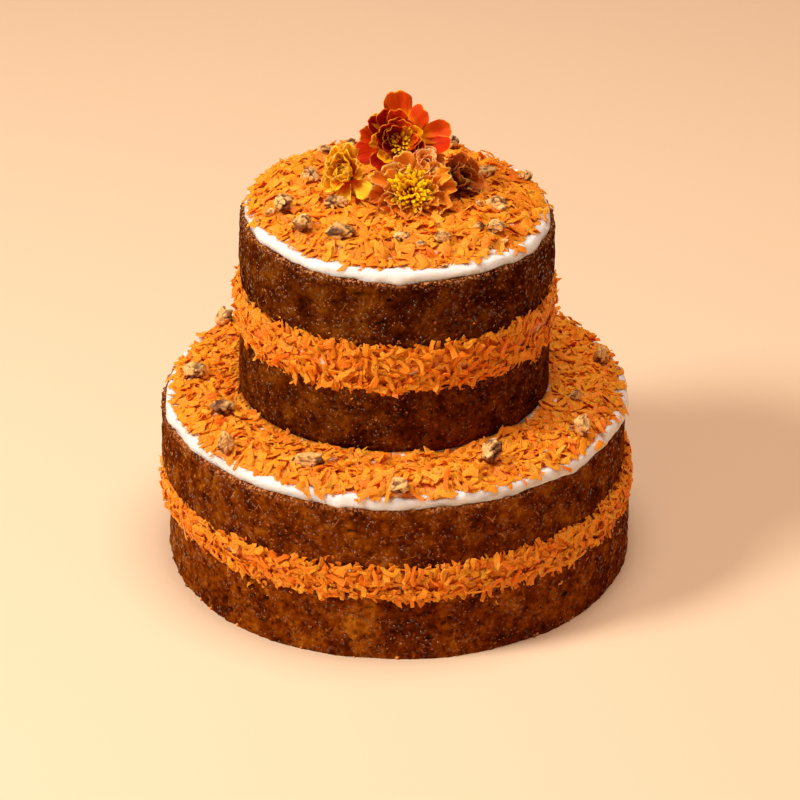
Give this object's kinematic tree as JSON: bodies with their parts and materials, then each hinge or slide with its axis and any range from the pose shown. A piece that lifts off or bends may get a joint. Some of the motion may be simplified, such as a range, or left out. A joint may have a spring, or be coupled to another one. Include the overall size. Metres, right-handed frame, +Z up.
{
  "type": "carrot cake",
  "caption": "Two-tier bare-sided carrot cake with cream and grated-carrot fillings, white icing, carrot shreds, walnut pieces and marigold flowers on top",
  "frame": {"origin": "centre of the flat foot of the lowest sponge", "axes": "+Z up through the tiers, -Y towards the front of the cake, +X to the right of somebody facing the front"},
  "size_m": [0.2299, 0.2299, 0.2369],
  "materials": {
    "sponge": "moist dark brown crust with amber patches, strands and pits",
    "cream": "soft off-white cream icing, smoothed by hand",
    "carrot": "moist grated carrot, orange",
    "card": "pale grey layered card",
    "walnut": "chopped walnut, tan cut faces and brown skin",
    "orange_petal": "thin ruffled petal, orange with a pale rim",
    "red_petal": "velvety crimson petal with a thin yellow rim",
    "gold_petal": "thin ruffled petal, golden yellow",
    "rust_petal": "thin ruffled petal, rust brown",
    "peach_petal": "small cupped petal, peach",
    "stem": "dark green calyx and stem"
  },
  "bodies": {
    "root": {"lower_sponge_base": "sponge", "lower_filling": "carrot", "lower_sponge_top": "sponge", "lower_icing": "cream", "lower_carrot_bed": "carrot", "tier_card": "card", "upper_sponge_base": "sponge", "upper_filling": "carrot", "upper_sponge_top": "sponge", "upper_icing": "cream", "upper_carrot_bed": "carrot", "marigold_orange": "orange_petal", "marigold_red": "red_petal", "marigold_gold": "gold_petal", "marigold_rust": "rust_petal", "marigold_peach": "peach_petal", "walnut_lower_01": "walnut", "walnut_lower_02": "walnut", "walnut_lower_03": "walnut", "walnut_lower_04": "walnut", "walnut_lower_05": "walnut", "walnut_lower_06": "walnut", "walnut_lower_07": "walnut", "walnut_lower_08": "walnut", "walnut_lower_09": "walnut", "walnut_lower_10": "walnut", "walnut_lower_11": "walnut", "walnut_lower_12": "walnut", "walnut_lower_13": "walnut", "walnut_upper_01": "walnut", "walnut_upper_02": "walnut", "walnut_upper_03": "walnut", "walnut_upper_04": "walnut", "walnut_upper_05": "walnut", "walnut_upper_06": "walnut", "walnut_upper_07": "walnut", "walnut_upper_08": "walnut", "walnut_upper_09": "walnut", "walnut_upper_10": "walnut", "walnut_upper_11": "walnut", "walnut_upper_12": "walnut", "walnut_upper_13": "walnut", "walnut_upper_14": "walnut"}
  },
  "joints": []
}
